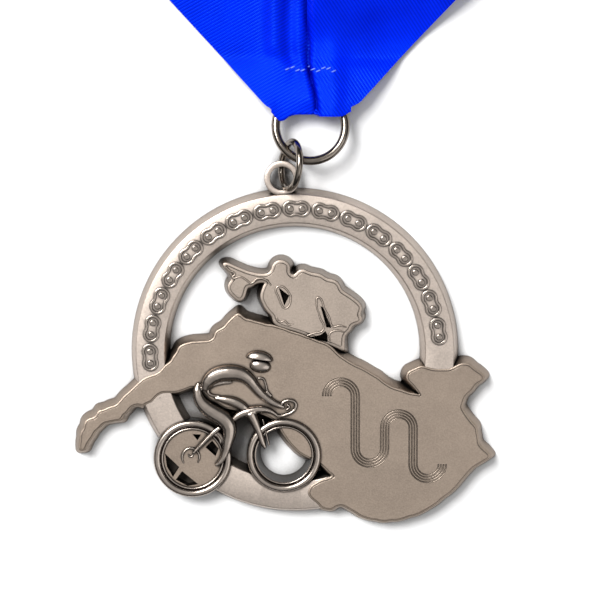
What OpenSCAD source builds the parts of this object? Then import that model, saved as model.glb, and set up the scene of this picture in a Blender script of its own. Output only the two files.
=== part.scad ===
// Sports finisher medal: a cast ring with a map plate, a cyclist in relief, two wire rings and a neck ribbon.
// It lies face up on its back. The origin is the ring's centre on the back face, and +Y points to the ribbon.

/* [Ring band] */
// Outer radius of the ring at its back
ring_r = 35.6; // [32:0.1:44]
// Width of the ring at its back
band_w = 8.4; // [7:0.1:12]
// Thickness of the ring
ring_t = 3.6; // [2.8:0.1:5]
// Distance that the walls of the casting slope in from the back to the face
draft = 1.1; // [0.2:0.1:1.4]

/* [Map plate] */
// Height of the plate's face above the ring's face
plate_step = 0.4; // [0.2:0.1:1]
// Depth of the engraved road lines
road_depth = 0.3; // [0.1:0.05:0.6]
// Width of one engraved road line
road_line_w = 0.26; // [0.2:0.02:0.34]
// Distance between neighbouring road lines
road_pitch = 0.56; // [0.45:0.01:0.6]

/* [Chain ornament] */
// Number of chain links on the ring
links = 17; // [12:1:20]
// Angle of the first link
chain_start = 199; // [190:1:205]
// Angle of the last link
chain_end = 3; // [0:1:20]
// Radius of a link's rounded end
link_r = 1.75; // [1.4:0.05:2]
// Width of a link's raised outline
link_line_w = 0.5; // [0.3:0.05:0.7]
// Height of the raised ornament
link_h = 0.4; // [0.2:0.05:0.8]

/* [Lug] */
// Sideways place of the lug
lug_x = -2.8; // [-6:0.1:6]
// Outer radius of the lug
lug_r = 3.8; // [3.4:0.1:4.6]
// Radius of the lug's hole
lug_hole_r = 2.5; // [2.1:0.1:2.8]
// Thickness of the lug
lug_t = 1.3; // [1:0.1:1.6]
// Height of the lug above the jump ring's lowest strand
lug_clear = 0.4; // [0.3:0.1:0.8]

/* [Wheels] */
// Radius of the rear wheel to the outside of its tyre
rear_r = 8.5; // [7:0.1:10]
// Radius of the front wheel to the outside of its tyre
front_r = 8.1; // [7:0.1:9.5]
// Radius of a tyre's round section
tyre_r = 0.8; // [0.6:0.05:1]
// Width of the front wheel's cast rim
rim_w = 1.8; // [1.4:0.1:2.4]
// Radius of the rear axle's hub
hub_r = 2.2; // [1.6:0.1:2.8]

/* [Cyclist] */
// Height of the bicycle frame above the plate
frame_h = 1; // [0.6:0.1:1.6]
// Height of the rider above the plate
rider_h = 1.6; // [1:0.1:2.4]
// Height of the helmet above the plate
helmet_h = 1.3; // [0.8:0.1:2]

/* [Jump ring] */
// Radius of the jump ring at the middle of its wire
jump_r = 5; // [4.8:0.1:6]
// Radius of the jump ring's wire
jump_wire_r = 0.75; // [0.6:0.05:0.8]
// Lean of the jump ring from upright
jump_lean = 22; // [15:1:26]
// Turn of the jump ring seen from above
jump_turn = -7.5; // [-10:0.5:0]

/* [Ribbon ring] */
// Radius of the ribbon ring at the middle of its wire
hoop_r = 7.45; // [7.2:0.05:9]
// Radius of the ribbon ring's wire
hoop_wire_r = 0.95; // [0.7:0.05:1]

/* [Ribbon] */
// Width of the ribbon
ribbon_w = 25; // [20:1:30]
// Thickness of the folded ribbon where it lies round the ring
cloth_t = 0.6; // [0.4:0.1:0.8]
// Thickness of the two arms that lie on the table
arm_t = 1.4; // [1.2:0.1:1.6]
// Angle of each ribbon arm from the middle line
arm_angle = 42; // [38:1:44]
// Height of the ribbon's folded spare length
stack_h = 7; // [5:0.5:10]

/* [Hidden] */
$fn = 96;

// The artwork is drawn for a ring of 35.6 mm radius, and spans the ring at any size.
art = ring_r / 35.6;
opening_r = ring_r - band_w;
face_z = ring_t + plate_step;
mid_r = ring_r - band_w / 2;
rear_at = [-22.3, -23.2] * art;
front_at = [-2.4, -22.4] * art;
far = 200;
gap = 0.1;

nickel = [0.72, 0.67, 0.63];
dark_nickel = [0.55, 0.52, 0.49];
polished = [0.8, 0.77, 0.73];
blue = [0.05, 0.2, 0.9];

plate_points = [[-47, -21.6], [-46.8, -19], [-44.8, -14.3], [-41.5, -12.4], [-38, -10.4], [-34.2, -6.7],
    [-28.7, -3.3], [-27, -1.9], [-25.3, 1.3], [-23.2, 2.3], [-19.8, 2.7], [-17.7, 3.2], [-15.5, 5.6],
    [-13.4, 8], [-12.1, 9], [-10.8, 7.6], [-4.9, 6.3], [1.5, 4.2], [7.4, 1.9], [10.8, -1.1],
    [15.9, -3.9], [21.4, -7.5], [27.2, -9.2], [24, -5.5], [24.4, -4.1], [27.4, -2.7], [30.8, -3.5],
    [33.3, -3.5], [36.3, -2.1], [38, -2.3], [41.4, -5.3], [37.1, -9.5], [36.3, -11.9], [37.6, -13.9],
    [39.7, -16.3], [40.1, -19.9], [42.8, -22.8], [39.2, -25.1], [35, -29.9], [30.8, -33.5],
    [26.5, -35.9], [22.3, -37.1], [18.9, -37.3], [15.4, -36.5], [12, -34.7], [10.1, -33.7], [8.2, -34.7],
    [5.7, -34.3], [2.7, -31.1], [3.6, -29.1], [5.7, -27.9], [8.2, -27.1], [5, -24.2], [0.6, -21.9],
    [-1.2, -20], [-2.8, -17.7], [-3.6, -15.9], [-5.5, -14.2], [-9, -12.8], [-12, -13], [-15, -12.3],
    [-18.5, -10.5], [-20.5, -8.6], [-22, -7.4], [-24.8, -8.5], [-27.4, -8.7], [-30.4, -9.9],
    [-32.1, -11.1], [-34.2, -11.4], [-36.3, -13.1], [-37.6, -14.9], [-41.5, -15.5], [-44, -18.6],
    [-45.6, -21.5]];
upper_points = [[-15.9, 19.3], [-14.8, 20], [-12.5, 18.9], [-9.3, 17.6], [-6.3, 17.2], [-5.2, 17.9],
    [-4.9, 19.4], [-3.6, 20.4], [-1.9, 20.2], [-0.9, 19.1], [-1.2, 17.6], [-0.2, 16.9], [0.7, 18.1],
    [2, 18.4], [3.4, 17.6], [5.8, 17.3], [6.9, 16.3], [8.8, 16], [9.7, 15.1], [10.2, 13.7], [11.7, 12.9],
    [14.2, 11], [14.7, 9.8], [14.1, 8.5], [14.7, 7.7], [14.2, 6.5], [12.4, 6], [12.1, 4.9], [10.9, 4],
    [10.7, 2.2], [10.9, 0.2], [8.6, 1.4], [1.5, 4.3], [-4.7, 6.2], [-4.9, 8.1], [-6.1, 9.1], [-7.3, 11.3],
    [-7.6, 12.6], [-6.9, 14.6], [-6.4, 15.5], [-8.3, 15.3], [-9.4, 14.4], [-10.3, 14.3], [-10.6, 12.8],
    [-11.2, 11.6], [-12.2, 11.3], [-13.4, 12.2], [-14.6, 13.6], [-14.5, 15.2], [-13.5, 16.2],
    [-14.3, 17.6]];
slots = [[[-3.5, 14.4], [-1.2, 12.6], [-2.3, 10.4]], [[5.5, 10.4], [6.1, 10], [7.9, 5.6], [6.8, 5.7]],
    [[2.9, 3.4], [5.6, 4.1], [6.6, 4.9], [7.1, 4], [7.1, 2.4]]];
wheel_slots = [[[-28.3, -22.1], [-25.2, -25.1], [-26.6, -27.3], [-27.9, -25]],
    [[-26, -27.9], [-24.6, -26], [-21.1, -28.9], [-23.4, -29.3]], [[-22.3, -17.8], [-20.4, -17.9], [-21.2, -19.2]],
    [[-19.5, -20.7], [-18, -19.2], [-16.6, -21], [-17.3, -22.7]]];
thigh_points = [[-21.2, -6.5], [-20.6, -7.2], [-19.6, -10], [-17, -12.2], [-14.3, -13.6], [-13, -15.5],
    [-12.9, -18.2], [-13.9, -21], [-15.4, -23.8], [-17, -24.6], [-16, -22.2], [-15.1, -19.5], [-15.4, -17],
    [-17.5, -15.2], [-20.2, -13.6], [-21.6, -11.4], [-21.7, -8.6]];
torso_points = [[-19.9, -7], [-18.4, -4.8], [-16, -3.1], [-13, -2.6], [-10.2, -2.9], [-8.4, -5], [-7, -7.8],
    [-5.2, -9.9], [-1.7, -11.4], [-2.2, -12.3], [-6.4, -11.1], [-8.9, -8.6], [-10.7, -6], [-12.4, -5],
    [-15.6, -5.2], [-18.2, -6.2], [-19, -8.4], [-16.6, -9.9], [-12.6, -11], [-10.2, -12.2], [-11, -12.8],
    [-14.6, -12.1], [-18, -10.9], [-19.8, -9.2]];
helmet_points = [[-10.6, -1.2], [-9.8, -0.1], [-8.3, 0.4], [-6.6, 0.1], [-5.2, -1.2], [-5, -2.1], [-5.9, -3],
    [-7.2, -3.8], [-8.8, -3.6], [-9.9, -2.6]];
bars = [[[-14, -13.6], [-9.6, -12.6]], [[-9.6, -12.6], [-5.2, -12.8]], [[-9.4, -12.8], [-6.4, -20]],
    [[-22.2, -22.2], [-16.2, -16]], [[-5.2, -12.8], [-3.7, -13.7]], [[-3.7, -13.7], [-0.6, -12.4]],
    [[-0.6, -12.4], [0.1, -11.2]], [[0.1, -11.2], [-1, -10.4]]];

function unit(v) = v / norm(v);
function outward(a, b) = let (d = unit(b - a)) [-d[1], d[0]];
function at(list, i) = list[(i + len(list)) % len(list)];
// Moves each side of a clockwise outline outwards by a distance.
function grown(p, d) = [for (i = [0:len(p) - 1])
    let (m = outward(at(p, i - 1), p[i]), n = outward(p[i], at(p, i + 1)))
        p[i] + (m + n) * d / max(1 + m * n, 0.35)];
// Cuts each corner of an outline back by up to a distance along its two sides.
function softened(p, d) = [for (i = [0:len(p) - 1], side = [-1, 1])
    let (v = at(p, i + side) - p[i]) p[i] + v * min(0.28, d / norm(v))];
function soft_outline(p, d) = softened(softened(grown(p * art, d), 1.2), 0.4);

module cast(points, z, grow = draft / 2) linear_extrude(z) polygon(soft_outline(points, grow));
module disc(at, r, z) translate([at[0], at[1], 0]) cylinder(r = r, h = z);

// The ring's whole solid, with both walls sloping in towards the face.
module ring_solid() rotate_extrude($fn = 180) polygon([[opening_r, 0], [ring_r, 0], [ring_r - draft, ring_t],
    [opening_r + draft, ring_t]]);
module plates_solid(z) {
    cast(plate_points, z);
    cast(upper_points, z);
}
// The room that the wheels take, up to the tops of their tyres.
module wheels_room() {
    disc(rear_at, rear_r, ring_t + tyre_r);
    difference() {
        disc(front_at, front_r, face_z + tyre_r);
        translate([0, 0, -1]) disc(front_at, front_r - rim_w, far);
    }
}

module ring_band() color(nickel) difference() {
    ring_solid();
    translate([0, 0, -1]) {
        plates_solid(far);
        disc(rear_at, rear_r, far);
        disc(front_at, front_r, far);
    }
}

lug_y = sqrt(pow(ring_r + lug_hole_r - 0.1, 2) - pow(lug_x, 2));
lug_top = 2 * jump_wire_r + lug_clear + lug_t;
module hanger_lug() color(nickel) difference() {
    translate([lug_x, lug_y, lug_top - lug_t]) cylinder(r = lug_r, h = lug_t);
    translate([lug_x, lug_y, 0]) cylinder(r = lug_hole_r, h = far);
    ring_solid();
    disc([0, 0], ring_r - draft, far);
}

// One chain link, drawn along X, as raised outlines.
link_pitch = (chain_start - chain_end) / links;
link_gap = 0.15;
link_half = mid_r * sin(link_pitch / 2) - link_r - link_gap;
module link_shape(r) {
    translate([-link_half, 0]) circle(r);
    translate([link_half, 0]) circle(r);
    square([2 * link_half, 1.1 * r], center = true);
}
module link() linear_extrude(link_h) {
    difference() {
        link_shape(link_r);
        link_shape(link_r - link_line_w);
    }
    for (side = [-1, 1]) translate([side * link_half, 0]) circle(link_line_w + 0.1);
}
module band_ornament() color(polished) difference() {
    for (i = [0:links - 1])
        rotate(chain_end + (i + 0.5) * link_pitch) translate([mid_r, 0, ring_t]) rotate(90) link();
    plates_solid(far);
}

// A winding road of four engraved lines: hairpin bends joined by straights.
road_r = 3.1;
road_bends = [[10, -9.4, 1], [16.3, -21, -1], [22.6, -16.4, 1], [28.9, -24.4, -1]];
module road_line(r) {
    w = road_line_w;
    for (i = [0:len(road_bends) - 1]) {
        b = road_bends[i];
        up = b[2];
        turned = up > 0 ? r : 2 * road_r + gap - r;
        translate([b[0], b[1]]) intersection() {
            difference() {
                circle(turned + w / 2);
                circle(turned - w / 2);
            }
            translate([-far / 2, up > 0 ? 0 : -far]) square([far, far]);
        }
        if (i > 0) {
            before = road_bends[i - 1];
            x = b[0] - (up > 0 ? r : 2 * road_r + gap - r);
            low = min(b[1], before[1]);
            translate([x - w / 2, low - gap]) square([w, abs(b[1] - before[1]) + 2 * gap]);
        }
    }
}
module road() scale(art) for (k = [-1.5:1:1.5]) road_line(road_r + k * road_pitch);

module map_plate() color(nickel) difference() {
    cast(plate_points, face_z);
    translate([0, 0, -1]) cast(upper_points, far);
    translate([0, 0, face_z - road_depth]) linear_extrude(far) road();
    for (s = slots) translate([0, 0, -1]) linear_extrude(far) polygon(s * art);
    translate([0, 0, -1]) disc(rear_at, rear_r, far);
    translate([0, 0, -1]) difference() {
        disc(front_at, front_r, far);
        disc(front_at, front_r - rim_w, far);
    }
}

module upper_plate() color(nickel) difference() {
    cast(upper_points, face_z);
    for (s = slots) translate([0, 0, -1]) linear_extrude(far) polygon(s * art);
}

// A tyre's round ridge, standing on the casting.
module tyre(at, r, z) translate([at[0], at[1], z]) rotate_extrude() intersection() {
    translate([r - tyre_r, 0]) circle(tyre_r);
    translate([0, 0]) square([far, far]);
}

hub_w = 0.6;
hub_h = 0.5;
module rear_wheel() color(dark_nickel) {
    difference() {
        disc(rear_at, rear_r, ring_t);
        for (s = wheel_slots) translate([0, 0, -1]) linear_extrude(far) polygon(s * art);
    }
    tyre(rear_at, rear_r, ring_t);
    translate([rear_at[0], rear_at[1], ring_t]) difference() {
        cylinder(r = hub_r, h = hub_h);
        cylinder(r = hub_r - hub_w, h = far, center = true);
        translate([-far / 2, -far - hub_r / 3, -1]) cube([far, far, far]);
    }
}

module front_wheel() color(dark_nickel) {
    difference() {
        disc(front_at, front_r, face_z);
        translate([0, 0, -1]) disc(front_at, front_r - rim_w, far);
    }
    tyre(front_at, front_r, face_z);
}

// The frame's tubes, which bridge the openings between the wheels.
bar_w = 0.9;
bar_z = 1.5;
module bar(a, b) translate([a[0], a[1], bar_z]) rotate(atan2(b[1] - a[1], b[0] - a[0]))
    translate([-bar_w / 2, -bar_w / 2]) cube([norm(b - a) + bar_w, bar_w, face_z + frame_h - bar_z]);
module bicycle_frame() color(polished) difference() {
    for (b = bars) bar(b[0] * art, b[1] * art);
    plates_solid(face_z);
    ring_solid();
    wheels_room();
    cast(thigh_points, far, 0);
    cast(torso_points, far, 0);
}

module rider() color(polished) difference() {
    union() {
        cast(thigh_points, face_z + rider_h, 0);
        cast(torso_points, face_z + rider_h, 0);
    }
    plates_solid(face_z);
    ring_solid();
    wheels_room();
}

module helmet() color(polished) translate([0, 0, face_z]) cast(helmet_points, helmet_h, 0);

// The jump ring stands on the table with its lowest strand under the lug's bar.
rest_gap = 0.05;
jump_z = jump_r * cos(jump_lean) + jump_wire_r + rest_gap;
bar_y = lug_y + (lug_r + lug_hole_r) / 2;
jump_x = lug_x + jump_r * sin(jump_lean);
module jump_ring() color(dark_nickel) translate([jump_x, bar_y - gap, jump_z]) rotate(jump_turn)
    rotate([0, jump_lean, 0]) rotate([0, 90, 0]) rotate_extrude() translate([jump_r, 0]) circle(jump_wire_r);

// The ribbon ring slopes from inside the jump ring down to the ribbon's fold, which lies on the table.
cross_angle = 55;
cross_at = [jump_x, bar_y + 0.43 * jump_r, jump_z - 0.3];
fold_end = hoop_r + hoop_wire_r + 2;
fold_base = cloth_t + hoop_wire_r + gap;
hoop_tilt = asin((cross_at[2] - fold_base) / (fold_end + hoop_r * sin(cross_angle)));
hoop_at = [cross_at[0] + hoop_r * cos(cross_angle), cross_at[1] + hoop_r * sin(cross_angle) * cos(hoop_tilt)];
fold_top = hoop_at[1] + fold_end * cos(hoop_tilt);
hoop_z = fold_base + fold_end * sin(hoop_tilt);
module on_hoop() translate([hoop_at[0], hoop_at[1], hoop_z]) rotate([-hoop_tilt, 0, 0]) children();
module ribbon_ring() color(dark_nickel) on_hoop() rotate_extrude() translate([hoop_r, 0]) circle(hoop_wire_r);

// The ribbon's tip, folded through the ribbon ring: a front and a back layer, and the bend that joins them.
fold_y = 2.6;
ribbon_off = 0.6;
fold_in = hoop_r - hoop_wire_r - 0.5;
function arm_half(y) = ribbon_w * 0.34 + y * tan(arm_angle);
module layer(z) translate([ribbon_off, 0, z]) linear_extrude(cloth_t) polygon([[-arm_half(0), fold_y],
    [-arm_half(fold_end - fold_y), fold_end], [arm_half(fold_end - fold_y), fold_end], [arm_half(0), fold_y]]);
module ribbon_fold() color(blue) on_hoop() {
    clear = hoop_wire_r + gap;
    layer(clear);
    layer(-clear - cloth_t);
    translate([-fold_in + ribbon_off, fold_y, -clear - cloth_t]) cube([2 * (fold_in - ribbon_off), cloth_t, 2 * (clear + cloth_t)]);
    translate([-fold_in, fold_end - cloth_t - 1, -clear - cloth_t])
        cube([2 * fold_in, cloth_t, 2 * (clear + cloth_t)]);
}

// The two arms of the V, up to the spare length.
arms_from = fold_top + 0.8;
arms_to = arms_from + 20;
module ribbon_arms() color(blue) translate([hoop_at[0] + ribbon_off, 0, 0]) linear_extrude(arm_t)
    let (near = arm_half(arms_from - hoop_at[1] - fold_y), end = arm_half(arms_to - hoop_at[1] - fold_y))
        polygon([[-near, arms_from], [-end, arms_to], [end, arms_to], [near, arms_from]]);

// The spare length, folded back and forth across the two arms.
module ribbon_stack() color(blue)
    let (end = arm_half(arms_to - hoop_at[1] - fold_y))
        translate([hoop_at[0] + ribbon_off - end, arms_to, 0]) cube([2 * end, ribbon_w, stack_h]);

// A row of small stitches across the arms.
stitch_count = 10;
stitch_pitch = 1.1;
stitch = [0.7, 0.25, 0.15];
stitch_up = 1.2;
module ribbon_stitches() color(blue * 0.7) for (i = [0:stitch_count - 1])
    translate([hoop_at[0] + (i - (stitch_count - 1) / 2) * stitch_pitch - stitch[0] / 2, arms_from + stitch_up, arm_t])
        cube(stitch);

ring_band();
hanger_lug();
band_ornament();
map_plate();
upper_plate();
rear_wheel();
front_wheel();
bicycle_frame();
rider();
helmet();
jump_ring();
ribbon_ring();
ribbon_fold();
ribbon_arms();
ribbon_stack();
ribbon_stitches();
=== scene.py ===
import math

import bmesh
import bpy
from mathutils import Matrix, Vector, noise


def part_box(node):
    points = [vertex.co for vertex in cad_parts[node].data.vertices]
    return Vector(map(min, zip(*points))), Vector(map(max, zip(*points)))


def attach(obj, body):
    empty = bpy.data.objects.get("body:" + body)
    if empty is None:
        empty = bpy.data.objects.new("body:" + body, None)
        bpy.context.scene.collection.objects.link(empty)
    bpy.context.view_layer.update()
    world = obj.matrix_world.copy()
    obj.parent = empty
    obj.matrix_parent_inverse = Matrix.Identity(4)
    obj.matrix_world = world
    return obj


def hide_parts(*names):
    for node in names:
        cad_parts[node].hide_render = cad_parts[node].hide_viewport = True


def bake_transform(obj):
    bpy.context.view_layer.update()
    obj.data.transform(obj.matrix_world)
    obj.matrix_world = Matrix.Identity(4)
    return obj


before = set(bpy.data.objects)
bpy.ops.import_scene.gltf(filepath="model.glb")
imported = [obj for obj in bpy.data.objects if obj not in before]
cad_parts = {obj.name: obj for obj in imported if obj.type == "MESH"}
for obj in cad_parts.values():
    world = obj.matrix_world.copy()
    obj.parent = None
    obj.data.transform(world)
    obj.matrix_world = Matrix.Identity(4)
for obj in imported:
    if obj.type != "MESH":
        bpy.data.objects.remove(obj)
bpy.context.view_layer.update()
print("frame loaded:", len(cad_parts), "nodes")

# Shapes are worked out in millimetres, and become metres when a piece is finished.
camera = {"across": 130.0, "centre": (1.1, 11.4, 2.0), "distance": 560, "tilt": 7.5}


def makeCamera():
    data = bpy.data.cameras.new("camera")
    holder = bpy.data.objects.new("camera", data)
    bpy.context.collection.objects.link(holder)
    tilt = math.radians(camera["tilt"])
    back = Vector((0, math.sin(tilt), math.cos(tilt)))
    holder.location = (Vector(camera["centre"]) + back * camera["distance"]) / 1000
    holder.rotation_euler = (-tilt, 0, 0)
    data.sensor_width = 36
    data.lens = 36 * camera["distance"] / camera["across"]
    data.clip_start = 0.01
    data.clip_end = 20
    bpy.context.scene.camera = holder


makeCamera()


def corners(node):
    low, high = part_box(node)
    return low * 1000, high * 1000


def middle(node):
    low, high = corners(node)
    return (low + high) / 2


ringRadius = corners("ring_band")[1].y
ringTop = corners("ring_band")[1].z
plateTop = corners("map_plate")[1].z
artScale = ringRadius / 35.6  # the artwork spans the ring at any size


def placed(x, y):
    return Vector((x * artScale, y * artScale, 0))


class Wire:
    # One shader socket; sums and products of wires add Math nodes.
    def __init__(self, finish, socket):
        self.finish = finish
        self.socket = socket

    def maths(self, operation, first, second):
        return self.finish.node("ShaderNodeMath", {"operation": operation}, {0: first, 1: second})

    def __add__(self, other):
        return self.maths("ADD", self, other)

    def __radd__(self, other):
        return self.maths("ADD", other, self)

    def __sub__(self, other):
        return self.maths("SUBTRACT", self, other)

    def __rsub__(self, other):
        return self.maths("SUBTRACT", other, self)

    def __mul__(self, other):
        return self.maths("MULTIPLY", self, other)

    def __rmul__(self, other):
        return self.maths("MULTIPLY", other, self)

    def __pow__(self, other):
        return self.maths("POWER", self, other)

    def sine(self):
        return self.maths("SINE", self, 0.0)

    def clamped(self):
        return self.finish.node("ShaderNodeClamp", {}, {0: self})


class Finish:
    # A material being wired up around its Principled shader.
    def __init__(self, name):
        self.material = bpy.data.materials.new(name)
        self.material.use_nodes = True
        self.tree = self.material.node_tree
        self.shader = self.tree.nodes["Principled BSDF"]

    def node(self, kind, settings, inputs, output=0):
        made = self.tree.nodes.new(kind)
        for key, value in settings.items():
            setattr(made, key, value)
        for key, value in inputs.items():
            self.connect(made.inputs[key], value)
        return Wire(self, made.outputs[output])

    def connect(self, socket, value):
        if isinstance(value, Wire):
            self.tree.links.new(value.socket, socket)
        elif isinstance(value, tuple) and socket.type == "RGBA":
            socket.default_value = (*value, 1)
        else:
            socket.default_value = value

    def surface(self, **values):
        for name, value in values.items():
            self.connect(self.shader.inputs[name.replace("_", " ")], value)

    def place(self):
        return self.node("ShaderNodeTexCoord", {}, {}, "Object")

    def noise(self, where, grain, detail=2.0):
        # grain is the size of one blotch in millimetres
        return self.node("ShaderNodeTexNoise", {}, {"Vector": where, "Scale": 1000 / grain, "Detail": detail})

    def mix(self, amount, first, second):
        return self.node("ShaderNodeMix", {"data_type": "RGBA"}, {0: amount, 6: first, 7: second}, 2)

    def bump(self, height, strength, distance):
        inputs = {"Height": height, "Strength": strength, "Distance": distance / 1000}
        return self.node("ShaderNodeBump", {}, inputs)

    def recess(self, reach):
        # 1 in the open, falling towards 0 in corners within reach millimetres
        return self.node("ShaderNodeAmbientOcclusion", {"samples": 8}, {"Distance": reach / 1000}, 1)

    def upward(self):
        # 1 where the piece faces its front, 0 on its side walls
        facing = self.node("ShaderNodeTexCoord", {}, {}, "Normal")
        return self.node("ShaderNodeSeparateXYZ", {}, {0: facing}, 2)


# in the cast and relief looks, the darkest colour is partly patina in fine corners and partly painted shade
# on walls, in openings and on steep flanks
nickelLook = {"band": (0.60, 0.515, 0.45), "plate": (0.385, 0.31, 0.25), "upper": (0.46, 0.385, 0.325),
              "patinaAndShade": (0.03, 0.026, 0.023), "spread": (0.78, 1.16), "clouds": 0.9, "speckle": 1.3,
              "grain": 0.34, "roughness": 0.44}
reliefLook = {"dark": (0.35, 0.297, 0.258), "light": (0.53, 0.458, 0.40), "patinaAndShade": (0.012, 0.010, 0.009),
              "roughness": 0.18}
wireLook = {"dark": (0.16, 0.135, 0.115), "light": (0.30, 0.26, 0.22), "roughness": 0.12}
threadLook = {"dark": (0.05, 0.12, 0.75), "light": (0.22, 0.34, 1.0)}


def castNickel(name, light):
    # blasted antique nickel: fine grain, cloudy tone, dark patina in fine corners, and painted shade on side
    # walls, in openings and where the casting meets the floor
    made = Finish(name)
    where = made.place()
    cloud = made.noise(where, 7.0)
    grain = made.noise(where, nickelLook["grain"], 3.0)
    tone = ((cloud - 0.5) * nickelLook["clouds"] + (grain - 0.5) * nickelLook["speckle"] + 0.6).clamped()
    darker, lighter = (tuple(share * c for c in light) for share in nickelLook["spread"])
    dull = made.mix(tone, darker, lighter)
    # painted shade: darker in openings, along walls and near the floor, wherever other surfaces lie within
    # 4.5 mm
    paintedShade = (made.recess(4.5) * 1.75 - 0.28).clamped()
    corner = (made.recess(0.8) * 1.15).clamped() ** 4.0
    # painted shade: side walls are darkened the more they turn away from the front
    wall = (made.upward() + 0.3).clamped()
    colour = made.mix((paintedShade * corner * wall).clamped(), nickelLook["patinaAndShade"], dull)
    made.surface(Base_Color=colour, Metallic=1.0, Roughness=nickelLook["roughness"] + grain * 0.12 - 0.06,
                 Normal=made.bump(grain, 0.4, 0.06))
    return made.material


def polishedNickel():
    # the raised relief, burnished smooth, with dark patina along its foot and painted shade on its steep
    # flanks
    made = Finish("polishedNickel")
    where = made.place()
    cloud = made.noise(where, 2.2)
    grain = made.noise(where, 0.25, 3.0)
    # painted shade: the relief's steep flanks are darkened; the corner mask joins this with dark patina along
    # the foot
    flank = (made.upward() * 1.7 - 0.28).clamped()
    corner = ((made.recess(1.2) * 1.14) ** 3.2 * flank).clamped()
    light = made.mix(cloud, reliefLook["dark"], reliefLook["light"])
    colour = made.mix(corner, reliefLook["patinaAndShade"], light)
    made.surface(Base_Color=colour, Metallic=1.0, Roughness=reliefLook["roughness"] + grain * 0.12,
                 Normal=made.bump(grain, 0.08, 0.04))
    return made.material


def wireNickel():
    # bright drawn wire with faint scratches
    made = Finish("wireNickel")
    where = made.place()
    streak = made.noise(where, 0.5, 4.0)
    cloud = made.noise(where, 3.0)
    colour = made.mix(cloud, wireLook["dark"], wireLook["light"])
    made.surface(Base_Color=colour, Metallic=1.0, Roughness=wireLook["roughness"] + streak * 0.12,
                 Normal=made.bump(streak, 0.06, 0.05))
    return made.material


# deep is the satin's dark blue, shown between ribs and in cloudy patches, and also as painted shade in the
# folds
satinLook = {"blue": (0.0, 0.018, 0.88), "deep": (0.0, 0.001, 0.30), "shine": (0.02, 0.2, 1.0), "rib": 0.66,
             "thread": 0.3}


def ribbonSatin():
    # satin ribbon with fine slanting ribs, on the cloth's own map in millimetres, and painted shade in its
    # folds and creases
    made = Finish("ribbonSatin")
    cloth = made.node("ShaderNodeUVMap", {"uv_map": "cloth"}, {})
    across = made.node("ShaderNodeSeparateXYZ", {}, {0: cloth})
    along = Wire(made, across.socket.node.outputs[1])
    slant = (along * 0.97 + across * 0.24) * (2 * math.pi / satinLook["rib"])
    threads = (across * (2 * math.pi / satinLook["thread"])).sine()
    ribs = slant.sine() * 0.5 + 0.5
    weave = ribs * 0.8 + threads * 0.2
    cloud = made.noise(made.place(), 9.0)
    # painted shade: the satin darkens in its folds and creases and where it lies close to other parts
    hollow = (made.recess(2.0) * 2.0 - 0.85).clamped()
    amount = ((0.1 + ribs * 0.45 + cloud * 0.7) * hollow).clamped()
    colour = made.mix(amount, satinLook["deep"], satinLook["blue"])
    made.surface(Base_Color=colour, Roughness=0.36 + threads * 0.08, Normal=made.bump(weave, 0.6, 0.1))
    made.surface(Specular_IOR_Level=0.55, Specular_Tint=satinLook["shine"])
    return made.material


def stitchThread():
    made = Finish("stitchThread")
    twist = made.noise(made.place(), 0.2)
    colour = made.mix(twist, threadLook["dark"], threadLook["light"])
    made.surface(Base_Color=colour, Roughness=0.5 + twist * 0.2, Normal=made.bump(twist, 0.3, 0.05))
    return made.material


castMetal = castNickel("castNickel", nickelLook["band"])
plateMetal = castNickel("plateNickel", nickelLook["plate"])
upperMetal = castNickel("upperNickel", nickelLook["upper"])
reliefMetal = polishedNickel()
wireMetal = wireNickel()
satin = ribbonSatin()
thread = stitchThread()
print("finishes made")


def linked(name, mesh):
    made = bpy.data.objects.new(name, mesh)
    bpy.context.collection.objects.link(made)
    return made


def meshOf(bm, name="shape"):
    mesh = bpy.data.meshes.new(name)
    bm.to_mesh(mesh)
    bm.free()
    return mesh


def evaluated(holder):
    # the object's mesh after its modifiers, as a bmesh; the object is removed
    bpy.context.view_layer.update()
    graph = bpy.context.evaluated_depsgraph_get()
    mesh = bpy.data.meshes.new_from_object(holder.evaluated_get(graph))
    bm = bmesh.new()
    bm.from_mesh(mesh)
    bpy.data.meshes.remove(mesh)
    bpy.data.objects.remove(holder)
    return bm


def cutAway(bm, cutter):
    body = linked("body", meshOf(bm))
    tool = linked("tool", meshOf(cutter))
    knife = body.modifiers.new("knife", "BOOLEAN")
    knife.operation = "DIFFERENCE"
    knife.solver = "EXACT"
    knife.object = tool
    cut = evaluated(body)
    bpy.data.objects.remove(tool)
    return cut


def finished(bm, name, material, body, slot, *nodes, sharp=38, ground=None, groundTop=0.0):
    # turns a shape in millimetres into a finished piece that stands for its nodes
    bmesh.ops.remove_doubles(bm, verts=bm.verts[:], dist=0.002)
    bmesh.ops.recalc_face_normals(bm, faces=bm.faces[:])
    bmesh.ops.scale(bm, vec=(0.001, 0.001, 0.001), verts=bm.verts[:])
    mesh = meshOf(bm, name)
    mesh.materials.append(material)
    if ground:
        mesh.materials.append(ground)  # the matt ground between raised lines
    mesh.shade_smooth()
    mesh.set_sharp_from_angle(angle=math.radians(sharp))
    for face in mesh.polygons:
        face.use_smooth = len(face.vertices) < 9  # the broad cast faces stay flat
        if ground and face.normal.z > 0.95 and face.center.z < groundTop / 1000:
            face.material_index = 1
    piece = linked(name, mesh)
    if body:
        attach(piece, body)
    if nodes:
        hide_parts(*nodes)
    return piece


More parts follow.
